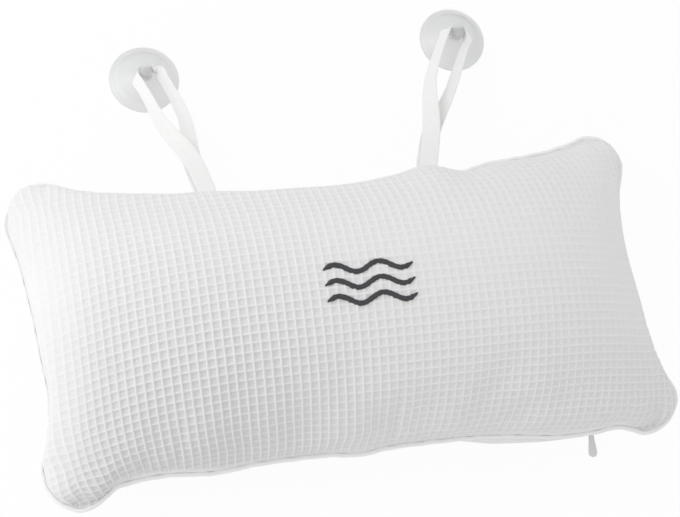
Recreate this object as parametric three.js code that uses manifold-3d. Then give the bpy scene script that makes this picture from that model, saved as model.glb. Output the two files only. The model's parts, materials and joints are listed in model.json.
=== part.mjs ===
// Bath pillow: a zipped and piped cover over a filled inner cushion, with two tape loops that each
// carry a suction cup. Millimetres, +Z up. The pillow lies on its back and the cups lie rim down on
// the same floor. The origin is the middle of the flat patch that the back rests on, +X runs along
// the length and +Y towards the suction cups.

import * as THREE from "three";
import { mergeVertices } from "three/addons/utils/BufferGeometryUtils.js";
import Module from "manifold-3d";

const wasm = await Module();
wasm.setup();

// Cover
const SEAM_HALF_LENGTH = 195.5; // middle to the seam at the tip of a corner, along X
const SEAM_HALF_WIDTH = 95.5; // the same along Y
const CORNER_RADIUS = 18; // of the rounded ears at the corners
const EAR_ANGLE = 20; // degrees that an ear turns past square at each end
const EAR_PULL_LENGTH = 38; // how far along an edge the pull of an ear reaches
const EDGE_DRAW = 9; // how far the edges between the ears lie inside them
const SEAM_HEIGHT = 42; // of the seam above the floor
const CROWN_HEIGHT = 64; // of the front above the seam
const BACK_DEPTH = 50; // depth that the back would have with no floor under it
const CLOTH = 1.5; // thickness of the waffle cloth
const CLEARANCE = 0.3; // between pieces that touch or are sewn together
const BITE = 0.1; // how far shapes that are joined into one piece reach into each other

// Piping in the seam
const PIPING_RADIUS = 2.1;
const PIPING_CLOTH = 0.5; // thickness of the cloth round the cord
const FLANGE_DEPTH = 4.5; // of the piping's sewn-in edge, inside the seam
const FLANGE_THICKNESS = 0.8;
const PIPING_JOIN = 0.5; // gap where the piping's two ends meet

// Inner cushion
const CUSHION_INSET = 10.5; // from the seam to the edge of the inner cushion
const CASE_CLOTH = 0.8;
const CUSHION_SLACK = 0.4; // between the cushion and the cover's back
const CROWN_SLACK = 1.4; // between the cushion and the cover at the crown
const FILLING_SLACK = 0.7; // between the filling and its case at the edge and on the floor
const BACK_EASE = 4; // how much less full the cushion's back is than the cover's
const FILLING_EASE = 1.5; // how much less full the filling is than its case

// Zip in the bottom seam
const ZIP_SETBACK = 26.5; // from the middle of a bottom ear to the end of the zip, along X
const ZIP_TAPE = 0.7; // thickness of a tape
const ZIP_TAPE_SHOWING = 3; // width of a tape between its coil and the cloth
const COIL_WIDTH = 1.9; // of one row
const COIL_DEPTH = 1.7;
const STOP_LENGTH = 2.5;
const SLIDER_LENGTH = 8;
const SLIDER_WALL = 0.9;
const PULL_LENGTH = 19; // from the pin to the tip
const PULL_HALF_WIDTH = 2.7;
const PULL_THICKNESS = 1.3;
const PULL_EYE_RADIUS = 1.9; // outside of the eye
const PIN_RADIUS = 0.6;

// Straps
const TAPE_WIDTH = 10.5; // at the seam
const TAPE_BESIDE_KNOB = 5.4; // width where a leg passes the cup's knob
const TAPE_GATHERED = 4; // width where the tape is gathered through the knob
const TAPE_THICKNESS = 1;
const TAPE_GATHERED_THICKNESS = 1.6;
const TAPE_BEND = 2.4; // from the mouth of the knob's hole to the middle of a leg
const TAPE_SHOULDER = 3.2; // how far before the hole a leg turns into it
const PLY_GAP = 0.4; // between the two ends of a loop, laid one on the other at the seam
const TAIL_INSIDE = 6; // length of the sewn-in end inside the seam
const LEFT_STRAP_IN = 120.5; // from the left end of the seam to the middle of the left strap, along X
const RIGHT_STRAP_IN = 129.5; // the same from the right end
const LEFT_REACH = [-31.5, 86]; // from the root to the middle of the cup, along X and Y
const RIGHT_REACH = [43.5, 101];

// Suction cups
const CUP_RADIUS = 23;
const CUP_LIP = 1.6; // width of the flat lip
const CUP_LIP_HEIGHT = 0.9;
const CUP_HOLLOW = 7; // depth of the hollow
const CUP_DOME = 9; // height of the outside where the knob begins
const KNOB_RADIUS = 4.8;
const KNOB_FOOT = 1.2; // flare where the knob meets the dome
const KNOB_ROUNDING = 2; // height of the knob's rounded top
const HOLE_RADIUS = 2.5;
const HOLE_HEIGHT = 14.5; // of the knob's cross hole above the lip
const KNOB_HEIGHT = 19;

const WHITE_CLOTH = { color: 0xf1f0ee, roughness: 0.95, metalness: 0 };
const PIPING_WHITE = { color: 0xf4f4f2, roughness: 0.9, metalness: 0 };
const TAPE_WHITE = { color: 0xeeeeec, roughness: 0.9, metalness: 0 };
const LINING_WHITE = { color: 0xf6f5f2, roughness: 0.95, metalness: 0 };
const FIBRE_WHITE = { color: 0xfbfaf7, roughness: 1, metalness: 0 };
const ZIP_WHITE = { color: 0xe9e9e8, roughness: 0.5, metalness: 0 };
const PULL_GREY = { color: 0xd9d9d8, roughness: 0.4, metalness: 0.1 };
const CUP_CLEAR = { color: 0xdcdedd, roughness: 0.25, metalness: 0 };

const TURN = Math.PI / 180;
const part = new THREE.Group();
part.name = "bath_pillow";

function addPiece(name, geometry, look, parent = part) {
  const mesh = new THREE.Mesh(geometry, new THREE.MeshStandardMaterial(look));
  mesh.name = name;
  parent.add(mesh);
  return mesh;
}

function smooth(value) {
  const t = Math.min(1, Math.max(0, value));
  return t * t * (3 - 2 * t);
}

// Joining and cutting

function solidOf(geometry) {
  const bare = geometry.clone();
  bare.deleteAttribute("normal");
  bare.deleteAttribute("uv");
  const merged = mergeVertices(bare, 1e-5);
  const mesh = new wasm.Mesh({
    numProp: 3,
    vertProperties: Float32Array.from(merged.attributes.position.array),
    triVerts: Uint32Array.from(merged.index.array),
  });
  return new wasm.Manifold(mesh);
}

function geometryOf(solid) {
  const mesh = solid.getMesh();
  const geometry = new THREE.BufferGeometry();
  geometry.setAttribute("position", new THREE.BufferAttribute(mesh.vertProperties, 3));
  geometry.setIndex(new THREE.BufferAttribute(mesh.triVerts, 1));
  geometry.computeVertexNormals();
  return geometry;
}

// A box between two opposite corners
function boxBetween(low, high) {
  const size = high.map((value, axis) => value - low[axis]);
  const box = new THREE.BoxGeometry(...size);
  return box.translate(...low.map((value, axis) => value + size[axis] / 2));
}

function meshFrom(points, faces) {
  const geometry = new THREE.BufferGeometry();
  const flat = points.flatMap((point) => [point.x, point.y, point.z]);
  geometry.setAttribute("position", new THREE.Float32BufferAttribute(flat, 3));
  geometry.setIndex(faces.flat());
  geometry.computeVertexNormals();
  return geometry;
}

// Seam outline, counterclockwise, with drawn-in edges between four rounded ears. The bottom edge
// runs straight along the zip.

const earX = SEAM_HALF_LENGTH - CORNER_RADIUS;
const earY = SEAM_HALF_WIDTH - CORNER_RADIUS;
const zipY = EDGE_DRAW - SEAM_HALF_WIDTH;
const zipHalfRun = earX - ZIP_SETBACK; // half of the straight run of the seam

function earPoint(signX, signY, degrees) {
  const x = signX * earX + CORNER_RADIUS * Math.cos(degrees * TURN);
  const y = signY * earY + CORNER_RADIUS * Math.sin(degrees * TURN);
  return new THREE.Vector2(x, y);
}

function earPull(signX, signY, degrees, reach) {
  const along = degrees + 90 * Math.sign(reach);
  const handle = new THREE.Vector2(Math.cos(along * TURN), Math.sin(along * TURN));
  return earPoint(signX, signY, degrees).addScaledVector(handle, Math.abs(reach));
}

function earArc(signX, signY, middle) {
  const start = (middle - 45 - EAR_ANGLE) * TURN;
  const end = (middle + 45 + EAR_ANGLE) * TURN;
  return new THREE.EllipseCurve(
    signX * earX, signY * earY, CORNER_RADIUS, CORNER_RADIUS, start, end, false,
  );
}

function drawnEdge(from, to) {
  const start = earPoint(...from);
  const end = earPoint(...to);
  const leave = earPull(...from, EAR_PULL_LENGTH);
  const arrive = earPull(...to, -EAR_PULL_LENGTH);
  return new THREE.CubicBezierCurve(start, leave, arrive, end);
}

const zipLeft = new THREE.Vector2(-zipHalfRun, zipY);
const zipRight = new THREE.Vector2(zipHalfRun, zipY);
const biteReach = ZIP_SETBACK / 3;
const leftBite = new THREE.CubicBezierCurve(
  earPoint(-1, -1, 270 + EAR_ANGLE),
  earPull(-1, -1, 270 + EAR_ANGLE, biteReach),
  zipLeft.clone().add(new THREE.Vector2(-biteReach, 0)),
  zipLeft,
);
const rightBite = new THREE.CubicBezierCurve(
  zipRight,
  zipRight.clone().add(new THREE.Vector2(biteReach, 0)),
  earPull(1, -1, 270 - EAR_ANGLE, -biteReach),
  earPoint(1, -1, 270 - EAR_ANGLE),
);

// Each stretch of the seam with the number of steps that it is cut into
const seamStretches = [
  [new THREE.LineCurve(zipLeft, zipRight), 14],
  [rightBite, 2],
  [earArc(1, -1, 315), 5],
  [drawnEdge([1, -1, EAR_ANGLE], [1, 1, -EAR_ANGLE]), 8],
  [earArc(1, 1, 45), 5],
  [drawnEdge([1, 1, 90 + EAR_ANGLE], [-1, 1, 90 - EAR_ANGLE]), 16],
  [earArc(-1, 1, 135), 5],
  [drawnEdge([-1, 1, 180 + EAR_ANGLE], [-1, -1, 180 - EAR_ANGLE]), 8],
  [earArc(-1, -1, 225), 5],
  [leftBite, 2],
];
const seam = seamStretches.flatMap(([curve, steps]) => curve.getPoints(steps).slice(0, -1));

function outwardAt(index) {
  const before = seam[(index + seam.length - 1) % seam.length];
  const after = seam[(index + 1) % seam.length];
  return new THREE.Vector2(after.y - before.y, before.x - after.x).normalize();
}

// The seam drawn in towards the middle, by the same distance at its ends and at its long edges
function seamInset(distance) {
  const scale = new THREE.Vector2(1 - distance / SEAM_HALF_LENGTH, 1 - distance / SEAM_HALF_WIDTH);
  return seam.map((point) => point.clone().multiply(scale));
}

// Y of the top seam at a place along X
function topSeamAt(x) {
  const spans = seam.map((point, index) => [point, seam[(index + 1) % seam.length]]);
  const [right, left] = spans.find(([a, b]) => a.y > 0 && b.y > 0 && a.x >= x && b.x < x);
  return THREE.MathUtils.mapLinear(x, right.x, left.x, right.y, left.y);
}

// Domed cloth: how much of its full height a panel has at a share of the way out to a seam point.
// The long edges rise as an ellipse, and the ends more steeply, so the ears stay thin.
function fullness(seamPoint, share) {
  if (share === 1) {
    return 0;
  }
  const along = Math.abs(seamPoint.x) * share;
  const across = Math.abs(seamPoint.y) * share;
  const reachX = SEAM_HALF_LENGTH - EDGE_DRAW * (1 - (across / SEAM_HALF_WIDTH) ** 2);
  const reachY = SEAM_HALF_WIDTH - EDGE_DRAW * (1 - (along / SEAM_HALF_LENGTH) ** 4);
  const end = Math.max(0, 1 - (along / reachX) ** 3);
  const side = Math.max(0, 1 - (across / reachY) ** 2);
  return Math.sqrt(end * side);
}

const coverRings = [90, 75, 60, 45, 30, 15].map((angle) => Math.sin(angle * TURN));
const cushionRings = [90, 55, 30, 15].map((angle) => Math.sin(angle * TURN));

// Points of one domed surface, ring by ring from its edge, with the crown point last. The edge runs
// beside the seam and has a point for each of the seam's.
function domePoints(edge, rings, heightAt) {
  const points = rings.flatMap((share) => edge.map((point, index) => {
    const height = heightAt(fullness(seam[index], share));
    return new THREE.Vector3(point.x * share, point.y * share, height);
  }));
  return [...points, new THREE.Vector3(0, 0, heightAt(1))];
}

// Triangles of one domed surface that faces up
function domeFaces(count, rings, first) {
  const faces = [];
  for (let ring = 0; ring < rings; ring += 1) {
    for (let step = 0; step < count; step += 1) {
      const next = (step + 1) % count;
      const a = first + ring * count + step;
      const b = first + ring * count + next;
      if (ring === rings - 1) {
        faces.push([a, b, first + rings * count]);
      } else {
        faces.push([a, b, b + count], [a, b + count, a + count]);
      }
    }
  }
  return faces;
}

// A closed piece between an upper and a lower domed surface whose edges are joined by a band
function domedPiece(upperEdge, lowerEdge, rings, upperAt, lowerAt) {
  const upper = domePoints(upperEdge, rings, upperAt);
  const lower = domePoints(lowerEdge, rings, lowerAt);
  const count = upperEdge.length;
  const upperFaces = domeFaces(count, rings.length, 0);
  const lowerFaces = domeFaces(count, rings.length, upper.length).map(([a, b, c]) => [a, c, b]);
  const band = upperEdge.flatMap((point, step) => {
    const next = (step + 1) % count;
    return [
      [step, upper.length + step, upper.length + next],
      [step, upper.length + next, next],
    ];
  });
  return meshFrom([...upper, ...lower], [...upperFaces, ...lowerFaces, ...band]);
}

// Cover panels

const rimGap = FLANGE_THICKNESS / 2 + CLEARANCE;
const seamInside = seamInset(CLOTH);
const frontRim = SEAM_HEIGHT + rimGap;
const backRim = SEAM_HEIGHT - rimGap;

addPiece("front_panel", domedPiece(
  seam,
  seamInside,
  coverRings,
  (share) => frontRim + (CROWN_HEIGHT - rimGap) * share,
  (share) => frontRim + (CROWN_HEIGHT - rimGap - CLOTH) * share,
), WHITE_CLOTH);

const backShell = solidOf(domedPiece(
  seamInside,
  seam,
  coverRings,
  (share) => Math.max(CLOTH, backRim - (BACK_DEPTH - CLOTH) * share),
  (share) => Math.max(0, backRim - BACK_DEPTH * share),
));

// Piping: a cord wrapped in cloth whose two edges form the flange between the panels

const pipingReach = PIPING_RADIUS + CLEARANCE; // from the seam to the middle of the cord
const pipingEdge = pipingReach + PIPING_RADIUS; // from the seam to the outside of the piping
const boreRadius = PIPING_RADIUS - PIPING_CLOTH;
const cordRadius = boreRadius - CLEARANCE;

function ringSection(radius, count, from, to) {
  return Array.from({ length: count }, (unused, index) => {
    const angle = (from + (to - from) * (index / (count - 1))) * TURN;
    return new THREE.Vector2(pipingReach + radius * Math.cos(angle), radius * Math.sin(angle));
  });
}

// Sweeps a section, given as distance out from the seam and height over it, along the whole seam.
// The two ends meet in the middle of the top edge.
function sweepAlongSeam(section, hole) {
  const start = seam.findIndex((point, index) => point.y > 0 && point.x <= 0 && index > 0);
  const order = seam.map((point, index) => (start + index) % seam.length);
  const stations = order.map((index) => ({ at: seam[index], out: outwardAt(index) }));
  const first = stations[0];
  const last = { at: first.at.clone(), out: first.out };
  last.at.x += PIPING_JOIN;
  stations.push(last);
  const profile = [...section, ...hole];
  const points = stations.flatMap(({ at, out }) => profile.map((place) => new THREE.Vector3(
    at.x + out.x * place.x,
    at.y + out.y * place.x,
    SEAM_HEIGHT + place.y,
  )));
  const faces = [];
  for (let station = 0; station + 1 < stations.length; station += 1) {
    const here = station * profile.length;
    const ahead = here + profile.length;
    for (let side = 0; side < section.length; side += 1) {
      const next = (side + 1) % section.length;
      faces.push([here + side, ahead + next, here + next]);
      faces.push([here + side, ahead + side, ahead + next]);
    }
    for (let side = 0; side < hole.length; side += 1) {
      const a = section.length + side;
      const b = section.length + ((side + 1) % hole.length);
      faces.push([here + a, here + b, ahead + b]);
      faces.push([here + a, ahead + b, ahead + a]);
    }
  }
  const cap = THREE.ShapeUtils.triangulateShape(section, hole.length ? [hole] : []);
  const end = (stations.length - 1) * profile.length;
  cap.forEach(([a, b, c]) => {
    faces.push([a, b, c]);
    faces.push([end + a, end + c, end + b]);
  });
  return meshFrom(points, faces);
}

const flangeHalf = FLANGE_THICKNESS / 2;
const flangeAngle = 180 - Math.asin(flangeHalf / PIPING_RADIUS) / TURN;
const pipingSection = [
  new THREE.Vector2(-FLANGE_DEPTH, flangeHalf),
  new THREE.Vector2(-FLANGE_DEPTH, -flangeHalf),
  ...ringSection(PIPING_RADIUS, 8, -flangeAngle, flangeAngle),
];
const pipingBore = ringSection(boreRadius, 7, 0, 360).slice(0, -1);
const cordSection = ringSection(cordRadius, 7, 0, 360).slice(0, -1);
addPiece("piping_cover", sweepAlongSeam(pipingSection, pipingBore), PIPING_WHITE);
addPiece("piping_cord", sweepAlongSeam(cordSection, []), FIBRE_WHITE);

// Inner cushion: a case of two halves round the filling

const caseEdge = seamInset(CUSHION_INSET);
const caseInside = seamInset(CUSHION_INSET + CASE_CLOTH);
const fillEdge = seamInset(CUSHION_INSET + CASE_CLOTH + FILLING_SLACK);
const caseTop = CROWN_HEIGHT - CLOTH - CROWN_SLACK;
const caseFloor = CLOTH + CUSHION_SLACK;
const fillTop = caseTop - CASE_CLOTH - FILLING_EASE;
const fillFloor = caseFloor + CASE_CLOTH + FILLING_SLACK;
const caseFullness = BACK_DEPTH - CLOTH - BACK_EASE;
const caseRim = CLEARANCE / 2;

addPiece("inner_case_front", domedPiece(
  caseEdge,
  caseInside,
  cushionRings,
  (share) => SEAM_HEIGHT + caseRim + caseTop * share,
  (share) => SEAM_HEIGHT + caseRim + (caseTop - CASE_CLOTH) * share,
), LINING_WHITE);

addPiece("inner_case_back", domedPiece(
  caseInside,
  caseEdge,
  cushionRings,
  (share) => Math.max(
    caseFloor + CASE_CLOTH,
    SEAM_HEIGHT - caseRim - (caseFullness - CASE_CLOTH) * share,
  ),
  (share) => Math.max(caseFloor, SEAM_HEIGHT - caseRim - caseFullness * share),
), LINING_WHITE);

addPiece("fibre_filling", domedPiece(
  fillEdge,
  fillEdge,
  cushionRings,
  (share) => SEAM_HEIGHT + caseRim + fillTop * share,
  (share) => Math.max(
    fillFloor,
    SEAM_HEIGHT - caseRim - (caseFullness - CASE_CLOTH - FILLING_EASE) * share,
  ),
), FIBRE_WHITE);

// Zip: a closed chain in a slot of the back panel just under the piping. It leans with the cloth,
// so its pieces are placed in a leaning group: local -Y points out of the pillow and Z up the cloth.

const firstRing = coverRings[1];
const wallDrop = BACK_DEPTH * Math.sqrt(1 - firstRing * firstRing);
const wallLean = Math.atan2(-zipY * (1 - firstRing), wallDrop);
const zip = new THREE.Group();
zip.name = "zip";
zip.position.set(0, zipY, SEAM_HEIGHT);
zip.rotation.x = wallLean;
zip.updateMatrix();
part.add(zip);

const pipingDip = PIPING_RADIUS - pipingReach * Math.sin(wallLean); // of the piping into the zip's frame
const sliderTop = -pipingDip - 2 * CLEARANCE;
const frontCoilTop = sliderTop - SLIDER_WALL - CLEARANCE;
const frontCoilLow = frontCoilTop - COIL_WIDTH;
const backCoilTop = frontCoilLow - CLEARANCE;
const backCoilLow = backCoilTop - COIL_WIDTH;
const sliderLow = backCoilLow - CLEARANCE - SLIDER_WALL;
const zipMiddle = (frontCoilLow + backCoilTop) / 2;
const zipSlotLow = backCoilLow - ZIP_TAPE_SHOWING;
const tapeFace = CLEARANCE; // outer face of the tapes, along local Y
const tapeBack = tapeFace + ZIP_TAPE;
const coilFace = tapeFace - CLEARANCE - COIL_DEPTH;
const tapeEnd = zipHalfRun - CLEARANCE;
const stopInner = tapeEnd - STOP_LENGTH;
const coilEnd = stopInner - CLEARANCE;

addPiece("zip_tape_front", boxBetween(
  [-tapeEnd, tapeFace, frontCoilLow],
  [tapeEnd, tapeBack, -rimGap],
), ZIP_WHITE, zip);
addPiece("zip_tape_back", boxBetween(
  [-tapeEnd, tapeFace, zipSlotLow + CLEARANCE],
  [tapeEnd, tapeBack, backCoilTop],
), ZIP_WHITE, zip);
addPiece("zip_coil_front", boxBetween(
  [-coilEnd, coilFace, frontCoilLow],
  [coilEnd, tapeFace - CLEARANCE, frontCoilTop],
), ZIP_WHITE, zip);
addPiece("zip_coil_back", boxBetween(
  [-coilEnd, coilFace, backCoilLow],
  [coilEnd, tapeFace - CLEARANCE, backCoilTop],
), ZIP_WHITE, zip);
addPiece("zip_stop_open_end", boxBetween(
  [-tapeEnd, coilFace, backCoilLow],
  [-stopInner, tapeFace - CLEARANCE, frontCoilTop],
), ZIP_WHITE, zip);
addPiece("zip_stop_closed_end", boxBetween(
  [stopInner, coilFace, backCoilLow],
  [tapeEnd, tapeFace - CLEARANCE, frontCoilTop],
), ZIP_WHITE, zip);

// Slider: a plate with two lips round the rows, and two ears with a pin for the pull

const slider = new THREE.Group();
slider.name = "slider";
slider.position.set(coilEnd - SLIDER_LENGTH / 2, 0, zipMiddle);
zip.add(slider);

const plateBack = coilFace - CLEARANCE;
const plateFace = plateBack - SLIDER_WALL;
const lipReach = tapeFace - CLEARANCE;
const halfSlider = SLIDER_LENGTH / 2;
const pinY = plateFace - PULL_EYE_RADIUS - CLEARANCE;
const earInner = PULL_THICKNESS / 2 + CLEARANCE;
const earOuter = earInner + SLIDER_WALL;
const earHalf = PIN_RADIUS + SLIDER_WALL;
const sliderPlate = boxBetween(
  [-halfSlider, plateFace, sliderLow - zipMiddle],
  [halfSlider, plateBack, sliderTop - zipMiddle],
);
const upperLip = boxBetween(
  [-halfSlider, plateBack - BITE, sliderTop - SLIDER_WALL - zipMiddle],
  [halfSlider, lipReach, sliderTop - zipMiddle],
);
const lowerLip = boxBetween(
  [-halfSlider, plateBack - BITE, sliderLow - zipMiddle],
  [halfSlider, lipReach, sliderLow + SLIDER_WALL - zipMiddle],
);
const upperEar = boxBetween(
  [-earHalf, pinY - earHalf, earInner],
  [earHalf, plateFace + BITE, earOuter],
);
const lowerEar = boxBetween(
  [-earHalf, pinY - earHalf, -earOuter],
  [earHalf, plateFace + BITE, -earInner],
);
const pin = new THREE.CylinderGeometry(PIN_RADIUS, PIN_RADIUS, 2 * (earInner + BITE), 12);
pin.rotateX(90 * TURN);
pin.translate(0, pinY, 0);
const sliderSolid = [upperLip, lowerLip, upperEar, lowerEar, pin].reduce(
  (joined, piece) => joined.add(solidOf(piece)),
  solidOf(sliderPlate),
);
addPiece("zip_slider", geometryOf(sliderSolid), ZIP_WHITE, slider);

const pullShape = new THREE.Shape();
const neckHalf = PULL_EYE_RADIUS * 0.7;
const bulgeAt = -PULL_LENGTH + PULL_HALF_WIDTH;
pullShape.moveTo(neckHalf, -PULL_EYE_RADIUS);
pullShape.lineTo(PULL_EYE_RADIUS, 0);
pullShape.absarc(0, 0, PULL_EYE_RADIUS, 0, Math.PI, false);
pullShape.lineTo(-neckHalf, -PULL_EYE_RADIUS);
pullShape.bezierCurveTo(
  -neckHalf, bulgeAt / 2, -PULL_HALF_WIDTH, bulgeAt + PULL_HALF_WIDTH, -PULL_HALF_WIDTH, bulgeAt,
);
pullShape.absarc(0, bulgeAt, PULL_HALF_WIDTH, Math.PI, 2 * Math.PI, false);
pullShape.bezierCurveTo(
  PULL_HALF_WIDTH, bulgeAt + PULL_HALF_WIDTH, neckHalf, bulgeAt / 2, neckHalf, -PULL_EYE_RADIUS,
);
const pullEye = new THREE.Path();
pullEye.absarc(0, 0, PIN_RADIUS + CLEARANCE, 0, 2 * Math.PI, true);
pullShape.holes.push(pullEye);
const pullGeometry = new THREE.ExtrudeGeometry(pullShape, {
  depth: PULL_THICKNESS,
  bevelEnabled: false,
  curveSegments: 8,
});
pullGeometry.translate(0, 0, -PULL_THICKNESS / 2);
const pull = addPiece("zip_pull", pullGeometry, PULL_GREY, slider);
pull.position.set(0, pinY, 0);

// Straps: each is one tape whose two ends lie one on the other in the top seam. The tape turns on
// edge on its way to the cup, where it is gathered through the knob's cross hole.

const stackHalf = TAPE_THICKNESS + PLY_GAP / 2;
const rootOut = pipingEdge + CLEARANCE + stackHalf; // from the seam to the line that a strap folds on
const rootHeight = SEAM_HEIGHT - PIPING_RADIUS - CLEARANCE - stackHalf;
const tailEnd = rootOut - stackHalf - CLEARANCE;
const mouth = KNOB_RADIUS + CLEARANCE; // from the middle of the cup to where the tape leaves the hole
const legSpread = mouth + TAPE_BEND; // from the middle of the cup to a leg beside the knob
const legSteps = 15;

function tapeStation(centre, along, wide, width, thickness) {
  return { centre, along, wide, width, thickness };
}

// The two legs keep side by side: they share one middle line, one width direction and one spread
function strapStations(root, hole) {
  const run = hole.clone().sub(root);
  const sideways = new THREE.Vector3(run.x, run.y, 0).normalize();
  const shoulder = hole.clone().addScaledVector(sideways, -TAPE_SHOULDER);
  const middle = new THREE.CubicBezierCurve3(
    root,
    new THREE.Vector3(root.x, root.y + 0.35 * run.y, root.z),
    new THREE.Vector3(hole.x - 0.5 * run.x, hole.y - 0.42 * run.y, hole.z - 0.12 * run.z),
    shoulder,
  );
  const upper = [];
  const lower = [];
  for (let step = 0; step <= legSteps; step += 1) {
    const share = step / legSteps;
    const centre = middle.getPointAt(share);
    const along = middle.getTangentAt(share);
    const turn = 90 * TURN * smooth((share - 0.12) / 0.8);
    const wide = new THREE.Vector3(Math.cos(turn), 0, Math.sin(turn));
    wide.addScaledVector(along, -wide.dot(along)).normalize();
    const apart = new THREE.Vector3().crossVectors(wide, along).normalize();
    const rest = (TAPE_THICKNESS + PLY_GAP) / 2;
    const spread = rest + (legSpread - rest) * Math.pow(smooth((share - 0.15) / 0.85), 1.2);
    const gather = smooth((share - 0.2) / 0.9);
    const width = THREE.MathUtils.lerp(TAPE_WIDTH, TAPE_BESIDE_KNOB, gather);
    const thickness = TAPE_THICKNESS;
    const back = along.clone().negate();
    const above = centre.clone().addScaledVector(apart, spread);
    const below = centre.clone().addScaledVector(apart, -spread);
    upper.push(tapeStation(above, along, wide, width, thickness));
    lower.push(tapeStation(below, back, wide, width, thickness));
  }
  const upright = new THREE.Vector3(0, 0, 1);
  const acrossKnob = new THREE.Vector3(1, 0, 0);
  const crossing = [-1, 0, 1].map((share) => tapeStation(
    hole.clone().addScaledVector(acrossKnob, share * mouth),
    acrossKnob,
    upright,
    TAPE_GATHERED,
    TAPE_GATHERED_THICKNESS,
  ));
  return [...upper, ...crossing, ...lower.reverse()];
}

function strapGeometry(stations) {
  const last = stations.length - 1;
  const points = [];
  stations.forEach(({ centre, along, wide, width, thickness }, index) => {
    const inner = new THREE.Vector3().crossVectors(along, wide).normalize();
    const past = index === 0 ? -1 : Number(index === last);
    [[-1, -1], [1, -1], [1, 1], [-1, 1]].forEach(([across, deep]) => {
      const corner = centre.clone();
      corner.addScaledVector(wide, across * width / 2);
      corner.addScaledVector(inner, deep * thickness / 2);
      corner.addScaledVector(along, deep > 0 ? past * TAPE_THICKNESS : 0);
      points.push(corner);
    });
  });
  const faces = [];
  for (let station = 0; station < last; station += 1) {
    for (let side = 0; side < 4; side += 1) {
      const a = station * 4 + side;
      const b = station * 4 + ((side + 1) % 4);
      faces.push([a, b, b + 4], [a, b + 4, a + 4]);
    }
  }
  const end = last * 4;
  faces.push([0, 2, 1], [0, 3, 2]);
  faces.push([end, end + 1, end + 2], [end, end + 2, end + 3]);
  return meshFrom(points, faces);
}

// Suction cups: a turned body with a hollow underside, and a knob with a cross hole along X

function cupSolid() {
  const hollowRadius = CUP_RADIUS - CUP_LIP;
  const profile = [];
  for (let step = 0; step <= 6; step += 1) {
    const radius = hollowRadius * step / 6;
    const height = CUP_HOLLOW * (1 - (step / 6) ** 2);
    profile.push(new THREE.Vector2(radius, height));
  }
  profile.push(new THREE.Vector2(CUP_RADIUS, 0));
  for (let step = 0; step <= 5; step += 1) {
    const share = step / 5;
    const radius = CUP_RADIUS + (KNOB_RADIUS + KNOB_FOOT - CUP_RADIUS) * share;
    const height = CUP_LIP_HEIGHT + (CUP_DOME - CUP_LIP_HEIGHT) * Math.pow(share, 1.15);
    profile.push(new THREE.Vector2(radius, height));
  }
  profile.push(new THREE.Vector2(KNOB_RADIUS, CUP_DOME + KNOB_FOOT));
  const knobTop = new THREE.EllipseCurve(
    0, KNOB_HEIGHT - KNOB_ROUNDING, KNOB_RADIUS, KNOB_ROUNDING, 0, Math.PI / 2, false,
  );
  const rounding = knobTop.getPoints(4);
  rounding[rounding.length - 1].x = 0;
  profile.push(...rounding);
  const body = new THREE.LatheGeometry(profile, 28);
  const drill = new THREE.CylinderGeometry(HOLE_RADIUS, HOLE_RADIUS, 4 * KNOB_RADIUS, 16);
  drill.rotateZ(90 * TURN);
  drill.translate(0, 0, HOLE_HEIGHT);
  return solidOf(body.rotateX(90 * TURN)).subtract(solidOf(drill));
}

const cupGeometry = geometryOf(cupSolid());
let backSolid = backShell;

function addStrap(side, rootX, reach) {
  const seamY = topSeamAt(rootX);
  const halfWide = TAPE_WIDTH / 2;
  const root = new THREE.Vector3(rootX, seamY + rootOut, rootHeight);
  const hole = new THREE.Vector3(rootX + reach[0], root.y + reach[1], HOLE_HEIGHT);
  const cup = addPiece(`cup_${side}`, cupGeometry.clone(), CUP_CLEAR);
  cup.position.set(hole.x, hole.y, 0);
  addPiece(`strap_${side}`, strapGeometry(strapStations(root, hole)), TAPE_WHITE);
  addPiece(`strap_tail_${side}`, boxBetween(
    [rootX - halfWide, seamY - TAIL_INSIDE, rootHeight - stackHalf],
    [rootX + halfWide, seamY + tailEnd, rootHeight + stackHalf],
  ), TAPE_WHITE);
  const notch = boxBetween(
    [rootX - halfWide - CLEARANCE, seamY - TAIL_INSIDE, rootHeight - stackHalf - CLEARANCE],
    [rootX + halfWide + CLEARANCE, seamY + TAIL_INSIDE, SEAM_HEIGHT],
  );
  backSolid = backSolid.subtract(solidOf(notch));
}

addStrap("left", LEFT_STRAP_IN - SEAM_HALF_LENGTH, LEFT_REACH);
addStrap("right", SEAM_HALF_LENGTH - RIGHT_STRAP_IN, RIGHT_REACH);

const zipSlot = boxBetween(
  [-zipHalfRun, -CLOTH, zipSlotLow],
  [zipHalfRun, 3 * CLOTH, CLOTH],
);
backSolid = backSolid.subtract(solidOf(zipSlot.applyMatrix4(zip.matrix)));
addPiece("back_panel", geometryOf(backSolid), WHITE_CLOTH);

export default part;
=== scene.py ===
"""Looks of the bath pillow: waffle cloth over a filled cushion, a piped seam with a zip, two tape
loops and two suction cups. Sizes are in millimetres and become metres where a mesh is made.
"""

import json
import math

import bmesh
import bpy
import numpy as np
from mathutils import Euler, Matrix, Vector, kdtree
from mathutils.bvhtree import BVHTree


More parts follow.
